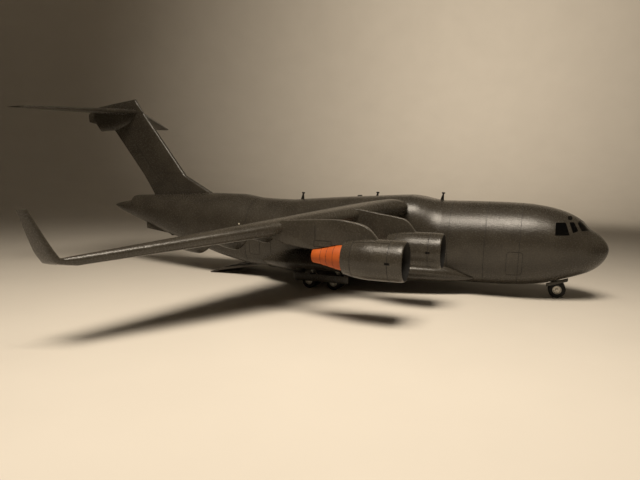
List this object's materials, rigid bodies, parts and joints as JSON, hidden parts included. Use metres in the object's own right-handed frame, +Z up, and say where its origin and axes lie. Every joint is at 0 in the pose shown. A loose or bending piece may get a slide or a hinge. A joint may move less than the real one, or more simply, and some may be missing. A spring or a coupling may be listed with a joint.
{
  "type": "scale model military transport plane",
  "caption": "Plastic display model of a four-engine high-wing military transport plane on its landing gear, with turning wheels and fans and a lowered cargo ramp.",
  "frame": {"origin": "centre of the bounding box at the level of the floor that the wheels stand on", "axes": "+X towards the nose, +Y towards the port wingtip, +Z up"},
  "size_m": [0.3644, 0.3592, 0.1178],
  "materials": {
    "dark_grey_paint": "satin",
    "orange_paint": "matte",
    "silver_paint": "satin",
    "tyre_black": "matte",
    "interior_grey": "matte",
    "smoked_clear": "gloss",
    "aerial_black": "satin"
  },
  "bodies": {
    "airframe": {"aerial_1": "aerial_black", "aerial_2": "aerial_black", "aerial_3": "aerial_black", "cargo_floor": "interior_grey", "cockpit_glazing": "smoked_clear", "cockpit_tub": "interior_grey", "engine_core_inboard_left": "orange_paint", "engine_core_inboard_right": "orange_paint", "engine_core_outboard_left": "orange_paint", "engine_core_outboard_right": "orange_paint", "engine_cowl_inboard_left": "dark_grey_paint", "engine_cowl_inboard_right": "dark_grey_paint", "engine_cowl_outboard_left": "dark_grey_paint", "engine_cowl_outboard_right": "dark_grey_paint", "fin": "dark_grey_paint", "fuselage_half_left": "dark_grey_paint", "fuselage_half_right": "dark_grey_paint", "gear_pod_left": "dark_grey_paint", "gear_pod_right": "dark_grey_paint", "main_gear_door_left": "dark_grey_paint", "main_gear_door_right": "dark_grey_paint", "main_leg_front_left": "silver_paint", "main_leg_front_right": "silver_paint", "main_leg_rear_left": "silver_paint", "main_leg_rear_right": "silver_paint", "nose_gear_bay": "interior_grey", "nose_gear_door_left": "dark_grey_paint", "nose_gear_door_right": "dark_grey_paint", "nose_leg": "silver_paint", "pylon_inboard_left": "dark_grey_paint", "pylon_inboard_right": "dark_grey_paint", "pylon_outboard_left": "dark_grey_paint", "pylon_outboard_right": "dark_grey_paint", "tail_bullet_fairing": "dark_grey_paint", "tail_strake_left": "dark_grey_paint", "tail_strake_right": "dark_grey_paint", "tailplane_left": "dark_grey_paint", "tailplane_right": "dark_grey_paint", "wing_centre_fairing": "dark_grey_paint", "wing_left": "dark_grey_paint", "wing_right": "dark_grey_paint", "winglet_left": "dark_grey_paint", "winglet_right": "dark_grey_paint"},
    "main_wheels_front_left": {"main_wheels_front_left": "tyre_black"},
    "main_wheels_front_right": {"main_wheels_front_right": "tyre_black"},
    "main_wheels_rear_left": {"main_wheels_rear_left": "tyre_black"},
    "main_wheels_rear_right": {"main_wheels_rear_right": "tyre_black"},
    "nose_wheels": {"nose_wheels": "tyre_black"},
    "fan_outboard_left": {"fan_outboard_left": "silver_paint"},
    "fan_outboard_right": {"fan_outboard_right": "silver_paint"},
    "fan_inboard_left": {"fan_inboard_left": "silver_paint"},
    "fan_inboard_right": {"fan_inboard_right": "silver_paint"},
    "cargo_ramp": {"cargo_ramp": "dark_grey_paint"},
    "cargo_door": {"cargo_door": "dark_grey_paint"}
  },
  "joints": [
    {"name": "main_wheels_front_left_roll", "type": "hinge", "parent": "airframe", "child": "main_wheels_front_left", "pos_m": [0.02903, 0.0316, 0.00424], "axis": [0, 1, 0], "continuous": true},
    {"name": "main_wheels_front_right_roll", "type": "hinge", "parent": "airframe", "child": "main_wheels_front_right", "pos_m": [0.02903, -0.0316, 0.00424], "axis": [0, 1, 0], "continuous": true},
    {"name": "main_wheels_rear_left_roll", "type": "hinge", "parent": "airframe", "child": "main_wheels_rear_left", "pos_m": [0.01306, 0.0316, 0.00424], "axis": [0, 1, 0], "continuous": true},
    {"name": "main_wheels_rear_right_roll", "type": "hinge", "parent": "airframe", "child": "main_wheels_rear_right", "pos_m": [0.01306, -0.0316, 0.00424], "axis": [0, 1, 0], "continuous": true},
    {"name": "nose_wheels_roll", "type": "hinge", "parent": "airframe", "child": "nose_wheels", "pos_m": [0.15681, 0, 0.00486], "axis": [0, 1, 0], "continuous": true},
    {"name": "fan_outboard_left_spin", "type": "hinge", "parent": "airframe", "child": "fan_outboard_left", "pos_m": [0.07847, 0.09826, 0.03], "axis": [1, 0, 0], "continuous": true},
    {"name": "fan_outboard_right_spin", "type": "hinge", "parent": "airframe", "child": "fan_outboard_right", "pos_m": [0.07847, -0.09826, 0.03], "axis": [1, 0, 0], "continuous": true},
    {"name": "fan_inboard_left_spin", "type": "hinge", "parent": "airframe", "child": "fan_inboard_left", "pos_m": [0.08826, 0.05917, 0.03049], "axis": [1, 0, 0], "continuous": true},
    {"name": "fan_inboard_right_spin", "type": "hinge", "parent": "airframe", "child": "fan_inboard_right", "pos_m": [0.08826, -0.05917, 0.03049], "axis": [1, 0, 0], "continuous": true},
    {"name": "cargo_ramp_hinge", "type": "hinge", "parent": "airframe", "child": "cargo_ramp", "pos_m": [-0.02618, 0, 0.00958], "axis": [0, 1, 0], "range_deg": [0, 22]},
    {"name": "cargo_door_hinge", "type": "hinge", "parent": "airframe", "child": "cargo_door", "pos_m": [-0.10639, 0, 0.02375], "axis": [0, 1, 0], "range_deg": [0, 43]}
  ]
}
